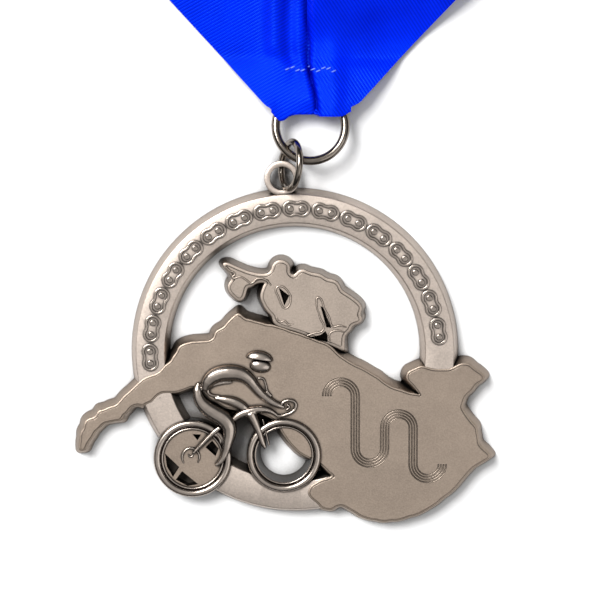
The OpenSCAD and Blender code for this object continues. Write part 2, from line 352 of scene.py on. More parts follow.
def turned(profile, centre, steps=160):
    # spins a closed profile of (radius, height) round an upright axis
    bm = bmesh.new()
    points = [bm.verts.new((radius, 0, height)) for radius, height in profile]
    edges = [bm.edges.new((a, b)) for a, b in zip(points, points[1:] + points[:1])]
    bmesh.ops.spin(bm, geom=points + edges, cent=(0, 0, 0), axis=(0, 0, 1), angle=2 * math.pi, steps=steps,
                   use_merge=True)
    bmesh.ops.remove_doubles(bm, verts=bm.verts[:], dist=0.001)
    bmesh.ops.translate(bm, vec=centre, verts=bm.verts[:])
    bmesh.ops.recalc_face_normals(bm, faces=bm.faces[:])
    return bm


def bead(radius, half, foot, top, count=10):
    # the round top of a raised bead, as profile points from its inner side to its outer side
    angles = [math.pi * (1 - i / count) for i in range(count + 1)]
    return [(radius + half * math.cos(a), foot + (top - foot) * math.sin(a)) for a in angles]


def prism(points, low, high):
    # an upright block with the given outline
    bm = bmesh.new()
    face = bm.faces.new([bm.verts.new((p.x, p.y, low)) for p in points])
    face.normal_update()
    if face.normal.z < 0:
        face.normal_flip()
    bmesh.ops.inset_region(bm, faces=[face], thickness=0.0001, depth=high - low,
                           use_even_offset=True, use_boundary=True)
    bmesh.ops.contextual_create(bm, geom=[e for e in bm.edges if e.is_boundary])
    bmesh.ops.recalc_face_normals(bm, faces=bm.faces[:])
    return bm


def added(bm, other):
    # joins another shape into bm
    mesh = meshOf(other)
    bm.from_mesh(mesh)
    bpy.data.meshes.remove(mesh)


band = {"width": 8.4, "draft": 1.1, "edge": 0.22}
rearWheel = {"at": (-22.3, -23.2), "radius": 8.5, "tyre": 0.78, "line": 6.6, "lineHalf": 0.29,
             "lineRise": 0.45, "tyreRise": 0.8}
frontWheel = {"at": (-2.4, -22.4), "radius": 8.1, "tyre": 0.76, "line": 6.26, "lineHalf": 0.26,
              "lineRise": 0.62, "tyreRise": 1.1, "hole": 5.98}
wheelSlots = [[(-28.3, -22.1), (-25.2, -25.1), (-26.6, -27.3), (-27.9, -25)],
              [(-26, -27.9), (-24.6, -26), (-21.1, -28.9), (-23.4, -29.3)],
              [(-22.3, -17.8), (-20.4, -17.9), (-21.2, -19.2)],
              [(-19.5, -20.7), (-18, -19.2), (-16.6, -21), (-17.3, -22.7)]]


def slotCutters(slots):
    bm = bmesh.new()
    for slot in slots:
        added(bm, prism([placed(*p) for p in slot], -1, 8))
    return bm


def holeCutter(wheel, radius):
    bm = bmesh.new()
    where = Matrix.Translation(placed(*wheel["at"]) + Vector((0, 0, 4)))
    bmesh.ops.create_cone(bm, cap_ends=True, segments=96, radius1=radius, radius2=radius, depth=10,
                          matrix=where)
    return bm


def makeBand():
    inner = ringRadius - band["width"]
    edge = band["edge"]
    profile = [(inner, 0), (ringRadius, 0), (ringRadius - band["draft"] + edge * 0.4, ringTop - edge),
               (ringRadius - band["draft"] - edge * 0.25, ringTop - edge * 0.25),
               (ringRadius - band["draft"] - edge, ringTop), (inner + band["draft"] + edge, ringTop),
               (inner + band["draft"] + edge * 0.25, ringTop - edge * 0.25),
               (inner + band["draft"] - edge * 0.4, ringTop - edge)]
    bm = turned(profile, (0, 0, 0), 240)
    bm = cutAway(bm, slotCutters(wheelSlots))
    bm = cutAway(bm, holeCutter(frontWheel, frontWheel["hole"] + 0.9))
    finished(bm, "ringBand", castMetal, "medal", "cast_nickel", "ring_band")


makeBand()

lug = {"radius": 3.8, "hole": 2.5, "edge": 0.3}


def makeLug():
    low, high = corners("hanger_lug")
    centre = Vector(((low.x + high.x) / 2, high.y - lug["radius"], 0))
    base, top, edge = low.z, high.z, lug["edge"]
    outer, hole = lug["radius"], lug["hole"]
    profile = [(hole + edge * 0.6, base), (outer - edge * 0.5, base), (outer, base + edge * 0.5),
               (outer, top - edge), (outer - edge * 0.3, top - edge * 0.3), (outer - edge, top),
               (hole + edge, top), (hole + edge * 0.3, top - edge * 0.3), (hole, top - edge),
               (hole, base + edge * 0.6)]
    bm = turned(profile, centre, 72)
    bmesh.ops.bisect_plane(bm, geom=bm.verts[:] + bm.edges[:] + bm.faces[:], plane_co=centre * 0.905,
                           plane_no=centre.normalized(), clear_inner=True)
    finished(bm, "hangerLug", castMetal, "medal", "cast_nickel", "hanger_lug")


makeLug()

chain = {"links": 17, "start": 199.0, "end": 3.0, "radius": 1.75, "line": 0.5, "height": 0.4, "gap": 0.15,
         "pin": 0.62}


def linkOutline(half):
    # one chain plate: two round ends and a narrow waist
    points = []
    for side in (1, -1):
        for i in range(13):
            turn = math.radians(-123 + 246 * i / 12)
            x = half + chain["radius"] * math.cos(turn)
            y = chain["radius"] * math.sin(turn)
            points.append(Vector((side * x, side * y, 0)))
    return points


def makeChain():
    pitch = math.radians(chain["start"] - chain["end"]) / chain["links"]
    middleRadius = ringRadius - band["width"] / 2
    half = middleRadius * math.sin(pitch / 2) - chain["radius"] - chain["gap"]
    bm = bmesh.new()
    for i in range(chain["links"]):
        link = bmesh.new()
        face = link.faces.new([link.verts.new(p) for p in linkOutline(half)])
        face.normal_update()
        bmesh.ops.inset_region(link, faces=[face], thickness=chain["line"], use_even_offset=True,
                               use_boundary=True)
        bmesh.ops.delete(link, geom=[face], context="FACES")
        for side in (-1, 1):
            pin = Matrix.Translation((side * half, 0, 0))
            bmesh.ops.create_circle(link, cap_ends=True, segments=20, radius=chain["pin"], matrix=pin)
        raised = bmesh.ops.extrude_face_region(link, geom=link.faces[:])["geom"]
        tops = [v for v in raised if isinstance(v, bmesh.types.BMVert)]
        bmesh.ops.translate(link, vec=(0, 0, chain["height"] + 0.1), verts=tops)
        rims = [e for e in link.edges if len(e.link_faces) == 2 and e.calc_face_angle(0) > 1
                and min(v.co.z for v in e.verts) > 0.2]
        bmesh.ops.bevel(link, geom=rims, offset=0.12, segments=2, profile=0.5, affect="EDGES", material=-1,
                        clamp_overlap=True)
        turn = math.radians(chain["end"]) + (i + 0.5) * pitch
        where = Vector((middleRadius * math.cos(turn), middleRadius * math.sin(turn), ringTop - 0.1))
        tangent = Matrix.Rotation(turn + math.pi / 2, 4, "Z")
        bmesh.ops.transform(link, matrix=Matrix.Translation(where) @ tangent, verts=link.verts[:])
        added(bm, link)
    bm = cutAway(bm, castPlate(mapOutline, mapPlate, 9))
    finished(bm, "chainOrnament", reliefMetal, "medal", "polished_nickel", "band_ornament")


mapPlate = {"draft": 1.1, "corner": 0.6, "step": 1.3, "rough": 0.4, "border": 0.46, "rise": 0.3,
            "edge": 0.14, "back": 0.01}
mapOutline = [(-47, -21.6), (-46.8, -19), (-44.8, -14.3), (-41.5, -12.4), (-38, -10.4), (-34.2, -6.7),
              (-28.7, -3.3), (-27, -1.9), (-25.3, 1.3), (-23.2, 2.3), (-19.8, 2.7), (-17.7, 3.2),
              (-15.5, 5.6), (-13.4, 8), (-12.1, 9), (-10.8, 7.6), (-4.9, 6.3), (1.5, 4.2), (7.4, 1.9),
              (10.8, -1.1), (15.9, -3.9), (21.4, -7.5), (27.2, -9.2), (24, -5.5), (24.4, -4.1),
              (27.4, -2.7), (30.8, -3.5), (33.3, -3.5), (36.3, -2.1), (38, -2.3), (41.4, -5.3),
              (37.1, -9.5), (36.3, -11.9), (37.6, -13.9), (39.7, -16.3), (40.1, -19.9), (42.8, -22.8),
              (39.2, -25.1), (35, -29.9), (30.8, -33.5), (26.5, -35.9), (22.3, -37.1), (18.9, -37.3),
              (15.4, -36.5), (12, -34.7), (10.1, -33.7), (8.2, -34.7), (5.7, -34.3), (2.7, -31.1),
              (3.6, -29.1), (5.7, -27.9), (8.2, -27.1), (5, -24.2), (0.6, -21.9), (-1.2, -20),
              (-2.8, -17.7), (-3.6, -15.9), (-5.5, -14.2), (-9, -12.8), (-12, -13), (-15, -12.3),
              (-18.5, -10.5), (-20.5, -8.6), (-22, -7.4), (-24.8, -8.5), (-27.4, -8.7), (-30.4, -9.9),
              (-32.1, -11.1), (-34.2, -11.4), (-36.3, -13.1), (-37.6, -14.9), (-41.5, -15.5),
              (-44, -18.6), (-45.6, -21.5)]
upperPlate = {"draft": 0.8, "corner": 0.9, "step": 9.0, "rough": 0.0, "border": 0.68, "rise": 0.3,
              "edge": 0.14, "back": 0.02}
upperOutline = [(-15.9, 19.3), (-14.8, 20), (-12.5, 18.9), (-9.3, 17.6), (-6.3, 17.2), (-5.2, 17.9),
                (-4.9, 19.4), (-3.6, 20.4), (-1.9, 20.2), (-0.9, 19.1), (-1.2, 17.6), (-0.2, 16.9),
                (0.7, 18.1), (2, 18.4), (3.4, 17.6), (5.8, 17.3), (6.9, 16.3), (8.8, 16), (9.7, 15.1),
                (10.2, 13.7), (11.7, 12.9), (14.2, 11), (14.7, 9.8), (14.1, 8.5), (14.7, 7.7),
                (14.2, 6.5), (12.4, 6), (12.1, 4.9), (10.9, 4), (10.7, 2.2), (10.9, 0.2), (8.6, 1.4),
                (1.5, 4.3), (-4.7, 6.2), (-4.9, 8.1), (-6.1, 9.1), (-7.3, 11.3), (-7.6, 12.6),
                (-6.9, 14.6), (-6.4, 15.5), (-8.3, 15.3), (-9.4, 14.4), (-10.3, 14.3), (-10.6, 12.8),
                (-11.2, 11.6), (-12.2, 11.3), (-13.4, 12.2), (-14.6, 13.6), (-14.5, 15.2), (-13.5, 16.2),
                (-14.3, 17.6)]
plateSlots = [[(-3.5, 14.4), (-1.2, 12.6), (-2.3, 10.4)], [(5.5, 10.4), (6.1, 10), (7.9, 5.6), (6.8, 5.7)],
              [(2.9, 3.4), (5.6, 4.1), (6.6, 4.9), (7.1, 4), (7.1, 2.4)]]


def grown(points, distance):
    # moves each side of a clockwise outline outwards, with its sharpest corners held back
    result = []
    for i, point in enumerate(points):
        before = (point - points[i - 1]).normalized()
        after = (points[(i + 1) % len(points)] - point).normalized()
        push = Vector((-before.y - after.y, before.x + after.x, 0))
        result.append(point + push * distance / max(1 + before.dot(after), 0.35))
    return result


def softened(points, distance):
    # cuts every corner back by up to a distance along both its sides
    result = []
    for i, point in enumerate(points):
        for other in (points[i - 1], points[(i + 1) % len(points)]):
            side = other - point
            result.append(point + side * min(0.28, distance / side.length))
    return result


def nextLoop(bm, loop, points, height):
    # extrudes a closed loop of points to a new outline at another height
    old = set(bm.verts)
    edges = [bm.edges.get((a, b)) for a, b in zip(loop, loop[1:] + loop[:1])]
    bmesh.ops.extrude_edge_only(bm, edges=edges)
    fresh = [next(e.other_vert(v) for e in v.link_edges if e.other_vert(v) not in old) for v in loop]
    for v, point in zip(fresh, points):
        v.co = (point.x, point.y, height)
    return fresh


def roughened(points, sizes):
    # small irregular steps between the outline's corners, largest at its narrow left end
    result = []
    for i, point in enumerate(points):
        end = points[(i + 1) % len(points)]
        count = max(1, round((end - point).length / sizes["step"]))
        side = Vector((point.y - end.y, end.x - point.x, 0)).normalized()
        for k in range(count):
            spot = point.lerp(end, k / count)
            wide = sizes["rough"] * (1 if spot.x < -12 else 0.35)
            lean = noise.noise(Vector((spot.x * 1.7, spot.y * 1.7, 5.5))) if k else 0
            result.append(spot + side * wide * 2.4 * lean)
    return result


def castPlate(outline, sizes, top):
    # sloping walls, a rounded rim, and a border round a raised field
    edge = sizes["edge"]
    field = top + sizes["rise"]
    inset = -sizes["border"]
    steps = [(sizes["draft"], sizes["back"]), (0.05, top - edge), (-0.3 * edge, top - 0.3 * edge),
             (-edge, top), (inset, top), (inset - 0.01, field - 0.04), (inset - 0.07, field)]
    sharp = roughened([placed(*p) for p in outline], sizes)
    loop = None
    bm = bmesh.new()
    for distance, height in steps:
        points = grown(sharp, distance)
        for cut in (sizes["corner"], sizes["corner"] / 2.5, sizes["corner"] / 6):
            points = softened(points, cut)
        if loop:
            loop = nextLoop(bm, loop, points, height)
        else:
            loop = [bm.verts.new((p.x, p.y, height)) for p in points]
            for a, b in zip(loop, loop[1:] + loop[:1]):
                bm.edges.new((a, b))
            first = loop
    bm.faces.new(loop)
    bm.faces.new(first)
    bmesh.ops.recalc_face_normals(bm, faces=bm.faces[:])
    return bm


road = {"radius": 3.1, "pitch": 0.56, "groove": 0.19, "depth": 0.01,
        "bends": [(10, -9.4, 1), (16.3, -21, -1), (22.6, -16.4, 1), (28.9, -24.4, -1)]}


def roadLine(radius):
    # one line of the winding road, bend after bend
    points = []
    for x, y, side in road["bends"]:
        turn = radius if side > 0 else 2 * road["radius"] + 0.1 - radius
        for i in range(17):
            angle = math.pi * (1 - i / 16)
            points.append(placed(x + turn * math.cos(angle), y + side * turn * math.sin(angle)))
    return points


def tubes(paths, radius, height):
    # round rods along level paths
    data = bpy.data.curves.new("tubes", "CURVE")
    data.dimensions = "3D"
    data.bevel_depth = radius
    data.bevel_resolution = 2
    data.use_fill_caps = True
    for path in paths:
        spline = data.splines.new("POLY")
        spline.points.add(len(path) - 1)
        for point, place in zip(spline.points, path):
            point.co = (place.x, place.y, height, 1)
    return evaluated(linked("tubes", data))


def relief(strokes, shoulder, crown, bottom, voxel=0.15, soften=2):
    # raised rounded strokes of (x, y, radius), fused into one smooth body with upright flanks
    data = bpy.data.curves.new("strokes", "CURVE")
    data.dimensions = "3D"
    data.bevel_depth = 1
    data.bevel_resolution = 4
    data.resolution_u = 8
    data.use_fill_caps = True
    for stroke in strokes:
        spline = data.splines.new("BEZIER")
        spline.bezier_points.add(len(stroke) - 1)
        for point, (x, y, radius) in zip(spline.bezier_points, stroke):
            point.co = placed(x, y)
            point.radius = radius
            point.handle_left_type = point.handle_right_type = "AUTO"
    bm = evaluated(linked("strokes", data))
    for v in bm.verts:
        v.co.z = shoulder + v.co.z * crown if v.co.z > -0.02 else bottom
    holder = linked("relief", meshOf(bm))
    fuse = holder.modifiers.new("fuse", "REMESH")
    fuse.mode = "VOXEL"
    fuse.voxel_size = voxel
    bm = evaluated(holder)
    for _ in range(soften):
        bmesh.ops.smooth_vert(bm, verts=bm.verts[:], factor=0.5, use_axis_x=True, use_axis_y=True,
                              use_axis_z=True)
    return bm


upperLines = [
    [(-14.9, 18.9, 0.16), (-14.1, 18.1, 0.2), (-12.9, 17.3, 0.2), (-13.5, 16.6, 0.2), (-11.7, 16.7, 0.2),
     (-10.3, 15.9, 0.2), (-9.5, 15.3, 0.2), (-8.1, 16.3, 0.2), (-6.4, 16.1, 0.2), (-5.1, 14.9, 0.16)],
    [(-2.6, 10.0, 0.2), (-3.6, 12.4, 0.2), (-4.1, 14.1, 0.2), (-3.2, 14.7, 0.2), (-1.2, 13.1, 0.2),
     (-0.9, 12.1, 0.2), (-1.8, 9.9, 0.2), (-2.6, 10.0, 0.2)],
    [(4.9, 9.3, 0.14), (4.7, 11.0, 0.2), (4.9, 12.2, 0.2), (5.5, 12.0, 0.2), (6.3, 9.9, 0.2), (7.4, 7.9, 0.2),
     (8.2, 5.9, 0.2), (9.6, 6.1, 0.2), (11.2, 5.7, 0.14)],
    [(5.0, 9.3, 0.14), (5.6, 7.4, 0.2), (6.3, 6.0, 0.2), (5.9, 4.9, 0.2), (4.4, 4.5, 0.2), (2.6, 3.9, 0.14)],
    [(7.6, 2.4, 0.14), (7.6, 4.4, 0.2), (9.1, 5.0, 0.2), (10.6, 4.7, 0.14)],
    [(-4.0, 7.9, 0.14), (-3.3, 6.9, 0.2), (-2.2, 7.1, 0.2), (-1.3, 6.3, 0.2), (-0.3, 6.5, 0.14)]]


def makePlates():
    top = plateTop
    bm = castPlate(mapOutline, mapPlate, top - mapPlate["rise"])
    bm = cutAway(bm, slotCutters(plateSlots))
    lines = [roadLine(road["radius"] + k * road["pitch"]) for k in (-1.5, -0.5, 0.5, 1.5)]
    bm = cutAway(bm, tubes(lines, road["groove"], top - road["depth"]))
    finished(bm, "mapPlate", plateMetal, "medal", "cast_nickel", "map_plate", sharp=30)
    bm = castPlate(upperOutline, upperPlate, top - upperPlate["rise"])
    bmesh.ops.translate(bm, vec=(0, 0, 0.03), verts=[v for v in bm.verts if v.co.z > 1])
    bm = cutAway(bm, slotCutters(plateSlots))
    added(bm, relief(upperLines, top + 0.08, 0.8, top - 0.3, 0.1, 1))
    finished(bm, "upperPlate", upperMetal, "medal", "cast_nickel", "upper_plate", sharp=30)


makePlates()
makeChain()
print("ring band, lug, chain and plates made")


def makeRearWheel():
    radius, tyre, line, half = (rearWheel[k] for k in ("radius", "tyre", "line", "lineHalf"))
    floor = ringTop + 0.05
    profile = [(0, 0.03), (0, floor), (line - half, floor)]
    profile += bead(line, half, floor + 0.12, floor + rearWheel["lineRise"], 6)
    profile += [(radius - 2 * tyre - 0.04, floor + 0.08)]
    profile += bead(radius - tyre, tyre, floor + 0.2, floor + rearWheel["tyreRise"])
    profile += [(radius, 0.03)]
    bm = turned(profile, placed(*rearWheel["at"]))
    bm = cutAway(bm, slotCutters(wheelSlots))
    hub = [(-24.2, -24.3, 0.12), (-24.6, -22.9, 0.25), (-24.0, -21.5, 0.28), (-22.7, -20.9, 0.28),
           (-21.4, -21.5, 0.28), (-20.8, -22.8, 0.25), (-21.2, -24.2, 0.12)]
    curl = [(-23.2, -22.2, 0.16), (-22.9, -22.8, 0.2), (-22.3, -22.6, 0.2), (-22.2, -22.1, 0.16)]
    added(bm, relief([hub, curl], floor + 0.1, 1.0, floor - 0.3, 0.1, 1))
    finished(bm, "rearWheel", reliefMetal, "medal", "polished_nickel", "rear_wheel", ground=plateMetal,
             groundTop=floor + 0.03)


def makeFrontWheel():
    radius, tyre, line, half, hole = (frontWheel[k] for k in ("radius", "tyre", "line", "lineHalf", "hole"))
    floor = plateTop - 0.3
    profile = [(hole - 0.85, 0.04), (hole - 0.02, floor)]
    profile += bead(line, half, floor + 0.3, floor + frontWheel["lineRise"], 6)
    profile += [(radius - 2 * tyre - 0.04, floor + 0.25)]
    profile += bead(radius - tyre, tyre, floor + 0.45, floor + frontWheel["tyreRise"])
    profile += [(radius + 0.05, 0.04)]
    bm = turned(profile, placed(*frontWheel["at"]))
    finished(bm, "frontWheel", reliefMetal, "medal", "polished_nickel", "front_wheel")


makeRearWheel()
makeFrontWheel()

riderStrokes = [
    [(-19.6, -8.0, 0.7), (-19.0, -6.4, 1.3), (-17.4, -4.9, 1.65), (-14.4, -4.2, 1.8), (-11.7, -4.5, 1.65),
     (-10, -5.6, 1.35), (-8.7, -7.2, 1.1), (-7.1, -9.0, 0.95), (-5.3, -10.4, 0.8), (-3.6, -11.3, 0.65),
     (-2.3, -11.8, 0.35)],
    [(-8, -5.4, 0.2), (-6.9, -5.5, 0.22), (-6.4, -6.6, 0.2), (-5.9, -8.3, 0.22), (-5, -9.3, 0.16)],
    [(-13.6, -6.4, 0.16), (-16.3, -6.6, 0.32), (-18.2, -7.3, 0.34), (-18.9, -8.2, 0.34), (-18.1, -9.1, 0.32),
     (-16.3, -9.2, 0.16)],
    [(-17.4, -9.8, 0.25), (-15.2, -10.1, 0.85), (-13.0, -10.7, 1.1), (-11.2, -11.7, 1.0), (-9.9, -12.7, 0.5)],
    [(-20.9, -6.4, 0.25), (-21.1, -8.0, 0.95), (-20.7, -10.0, 1.3), (-19.4, -11.7, 1.6), (-17.4, -13.1, 1.75),
     (-15.4, -14.4, 1.8), (-14.4, -15.8, 1.7), (-14.2, -17.3, 1.5), (-14.6, -19.5, 1.2), (-15.2, -21.9, 0.8),
     (-16.2, -23.8, 0.55), (-17.3, -24.7, 0.25)]]
bicycleStrokes = [
    [(-13.4, -14.5, 0.7), (-11.7, -13.3, 0.95), (-10, -12.7, 1.05), (-7.6, -12.2, 0.85), (-5.6, -12.5, 0.6),
     (-4.0, -13.4, 0.35)],
    [(-9.6, -13.1, 1.25), (-8.7, -15, 1.05), (-7.7, -17.5, 0.8), (-6.9, -19.8, 0.6), (-6.4, -20.8, 0.35)],
    [(-7.0, -14.4, 0.16), (-6.3, -17.4, 0.2), (-5.6, -20.3, 0.2)],
    [(-3.2, -11.9, 0.25), (-2.7, -10.8, 0.28), (-1.7, -10.3, 0.3), (-0.8, -10.3, 0.3), (0.1, -10.8, 0.3),
     (0.1, -11.9, 0.3), (-0.6, -12.8, 0.3), (-1.9, -13.4, 0.32), (-3.4, -13.7, 0.32), (-4.3, -13.4, 0.3)],
    [(-1.9, -12.4, 0.2), (-1.2, -11.6, 0.25), (-1.7, -11.2, 0.2)],
    [(-22.2, -22.0, 0.22), (-20, -19.7, 0.42), (-17.5, -17.2, 0.6), (-16.3, -16.2, 0.55)],
    [(-18.3, -18.3, 0.2), (-17.2, -17.9, 0.35), (-16.4, -18.7, 0.35), (-16.1, -19.8, 0.2)]]
cyclist = {"flank": 0.35, "riderCrown": 0.72, "frameCrown": 0.9}


def makeCyclist():
    shoulder = plateTop + cyclist["flank"]
    low = corners("rider")[0].z
    bm = relief(riderStrokes, shoulder, cyclist["riderCrown"], low + 0.02)
    finished(bm, "riderFigure", reliefMetal, "medal", "polished_nickel", "rider", sharp=60)
    under = corners("bicycle_frame")[0].z
    bm = relief(bicycleStrokes, shoulder, cyclist["frameCrown"], under)
    finished(bm, "bicycleFrame", reliefMetal, "medal", "polished_nickel", "bicycle_frame", sharp=60)


helmet = {"dome": (-7.7, -1.3, 3.0, 1.95, 1.25), "head": (-7.5, -2.75, 2.35, 1.5, 0.95), "slope": -8}


def makeHelmet():
    # a plain dome over a plain, featureless head
    bm = bmesh.new()
    x, y, wide, deep, high = helmet["dome"]
    turn = Matrix.Rotation(math.radians(helmet["slope"]), 4, "Z")
    size = Matrix.Diagonal((wide, deep, high, 1))
    at = Matrix.Translation(placed(x, y) + Vector((0, 0, plateTop + 0.05)))
    bmesh.ops.create_uvsphere(bm, u_segments=40, v_segments=20, radius=1, matrix=at @ turn @ size)
    cut = turn @ Vector((0, -1, 0))
    bmesh.ops.bisect_plane(bm, geom=bm.verts[:] + bm.edges[:] + bm.faces[:], plane_no=cut, clear_outer=True,
                           plane_co=placed(x, y + 0.1))
    bmesh.ops.contextual_create(bm, geom=[e for e in bm.edges if e.is_boundary])
    rim = [e for e in bm.edges if len(e.link_faces) == 2 and e.calc_face_angle(0) > 0.9]
    bmesh.ops.bevel(bm, geom=rim, offset=0.18, segments=3, profile=0.5, affect="EDGES", material=-1,
                    clamp_overlap=True)
    x, y, wide, deep, high = helmet["head"]
    size = Matrix.Diagonal((wide, deep, high, 1))
    at = Matrix.Translation(placed(x, y) + Vector((0, 0, plateTop)))
    bmesh.ops.create_uvsphere(bm, u_segments=32, v_segments=16, radius=1, matrix=at @ turn @ size)
    finished(bm, "riderHelmet", reliefMetal, "medal", "polished_nickel", "helmet", sharp=50)


makeCyclist()
makeHelmet()
print("wheels, bicycle and rider made")

jumpRing = {"radius": 5.0, "wire": 0.75, "turn": -7.5, "lean": 22.0, "seam": 2.0, "seamAt": -115}
ribbonRing = {"radius": 7.45, "wire": 0.95, "tilt": 12.195, "seam": 1.4, "seamAt": 70}


def wireRing(sizes, name, body, node, place):
    # round wire bent to a ring, its two ends butted at a fine seam
    bm = bmesh.new()
    start = Matrix.Translation((sizes["radius"], 0, 0)) @ Matrix.Rotation(math.pi / 2, 4, "X")
    bmesh.ops.create_circle(bm, cap_ends=True, segments=24, radius=sizes["wire"], matrix=start)
    bmesh.ops.rotate(bm, cent=(0, 0, 0), matrix=Matrix.Rotation(math.radians(sizes["seam"] / 2), 3, "Z"),
                     verts=bm.verts[:])
    around = math.radians(360 - sizes["seam"])
    bmesh.ops.spin(bm, geom=bm.verts[:] + bm.edges[:] + bm.faces[:], cent=(0, 0, 0), axis=(0, 0, 1),
                   angle=around, steps=120)
    bmesh.ops.recalc_face_normals(bm, faces=bm.faces[:])
    ends = [e for e in bm.edges if len(e.link_faces) == 2 and e.calc_face_angle(0) > 1]
    bmesh.ops.bevel(bm, geom=ends, offset=0.06, segments=2, profile=0.5, affect="EDGES", material=-1)
    bmesh.ops.transform(bm, matrix=Matrix.Translation(middle(node)) @ place, verts=bm.verts[:])
    finished(bm, name, wireMetal, body, "wire_nickel", node)


def makeRings():
    turn = Matrix.Rotation(math.radians(jumpRing["turn"]), 4, "Z")
    lean = Matrix.Rotation(math.radians(jumpRing["lean"] + 90), 4, "Y")
    seam = Matrix.Rotation(math.radians(jumpRing["seamAt"]), 4, "Z")
    wireRing(jumpRing, "jumpRing", "jump_ring", "jump_ring", turn @ lean @ seam)
    tilt = Matrix.Rotation(math.radians(-ribbonRing["tilt"]), 4, "X")
    seam = Matrix.Rotation(math.radians(ribbonRing["seamAt"]), 4, "Z")
    wireRing(ribbonRing, "ribbonRing", "ribbon_ring", "ribbon_ring", tilt @ seam)


makeRings()
print("wire rings made")

ribbon = {"width": 25.0, "cloth": 0.34, "columns": 96, "leftEdge": 9.0, "leftLean": 0.92, "rightEdge": 8.05,
          "rightLean": 0.933, "overlap": 0.44, "layers": 9, "layerRise": 0.44, "sway": 0.5, "row": 0.8}
wrinkles = {"loft": 1.5, "pinch": 0.8, "ledge": 0.8, "fold": 1.7, "hollow": 1.1, "swell": 0.8, "dimple": 0.7,
            "wave": 0.22}
tip = Vector((middle("ribbon_ring").x + 0.6, corners("ribbon_fold")[0].y + 0.9, 0))
stackLow, stackHigh = corners("ribbon_stack")
stackTop = 0.7 + ribbon["layers"] * ribbon["layerRise"]


def eased(value):
    value = min(1, max(0, value))
    return value * value * (3 - 2 * value)


def leftEdge(e):
    return tip.x - ribbon["leftEdge"] - ribbon["leftLean"] * e


def rightEdge(e):
    return tip.x + ribbon["rightEdge"] + ribbon["rightLean"] * e


def crease(e):
    # the line where the right arm's inner edge is sewn down on the left arm
    return tip.x + 0.7 - 2.0 * eased(e / 12)


def hill(value, width):
    return math.exp(-(value / width) ** 2)


def clothHeight(x, e):
    # the left arm's surface, from the wire it wraps down to the table
    over = 4.05 * (1 - min(1, max(0, e) / 11.5) ** 1.6)
    loft = wrinkles["loft"] * hill(x - tip.x, 11) * eased((e - 5) / 5)
    seam = x - crease(e)
    pinch = (wrinkles["pinch"] + eased((e - 5) / 5)) * hill(seam, 0.62 + 0.3 * eased((e - 8) / 8))
    ledge = wrinkles["ledge"] * eased((0.2 - seam) / 0.8) * hill(seam, 3.2) * eased(e / 3)
    fold = wrinkles["fold"] * hill(x - tip.x + 8.0, 2.2) * eased((e - 8) / 6)
    hollow = wrinkles["hollow"] * hill(x - tip.x + 5.2, 1.6) * eased((e - 9) / 4)
    swell = wrinkles["swell"] * hill(x - tip.x - 4.4, 2.3) * (1 - eased((e - 12) / 10))
    dimple = wrinkles["dimple"] * hill(x - tip.x + 3.6, 1.7) * hill(e - 9, 3.5)
    wave = wrinkles["wave"] * noise.noise(Vector((x * 0.11, e * 0.09, 3.1)))
    raised = over + loft + ledge + fold + swell + wave
    return max(0.3, 0.42 + raised - pinch - hollow - dimple)


def frontRow(side, e):
    # one row straight across an arm: side 0 is the left arm, 1 the right arm that lies on it
    low, high = leftEdge(e), rightEdge(e)
    natural = ribbon["width"] / math.cos(math.atan(ribbon["leftLean"]))
    if side == 0:
        ends = (low, min(low + natural, high - 0.9))
    else:
        ends = (high, crease(e) + 0.1)
    row = []
    for i in range(ribbon["columns"] + 1):
        x = ends[0] + (ends[1] - ends[0]) * i / ribbon["columns"]
        z = clothHeight(x, e) + side * ribbon["overlap"]
        z += side * (stackTop - 0.75) * eased((e - 14) / (stackLow.y - tip.y - 14))
        if side:
            z -= 0.45 * hill(x - crease(e), 0.6)
        dip = 1.4 * hill(x - tip.x + 6.9, 1.7) - 0.8 * hill(x - leftEdge(0), 0.9)
        dip = (dip - hill(x - rightEdge(0), 1.3)) * (1 - eased(e / 4))
        row.append(Vector((x, tip.y + e - dip, z)))
    return row


def tipRow(side, e, z, low, high, share):
    # one row of the part that is gathered and goes down through the ring, and up behind it
    front = frontRow(side, max(0, e))
    ends = (low, high - 1) if side == 0 else (high, tip.x - 0.6)
    row = []
    for i, place in enumerate(front):
        x = ends[0] + (ends[1] - ends[0]) * i / ribbon["columns"]
        gathered = Vector((x, tip.y + e, z + 0.12 * math.sin(i * 0.9)))
        flat = Vector((place.x, tip.y + e + (place.y - tip.y - max(0, e)), z + place.z - 4.4))
        row.append(flat.lerp(gathered, share))
    return row


def straightRow(start, end, z, sway=0.0):
    row = []
    for i in range(ribbon["columns"] + 1):
        place = start.lerp(end, i / ribbon["columns"])
        ripple = noise.noise(Vector((place.x * 0.08, place.y * 0.1, z * 2)))
        row.append(Vector((place.x, place.y + sway, z + 0.1 * ripple)))
    return row


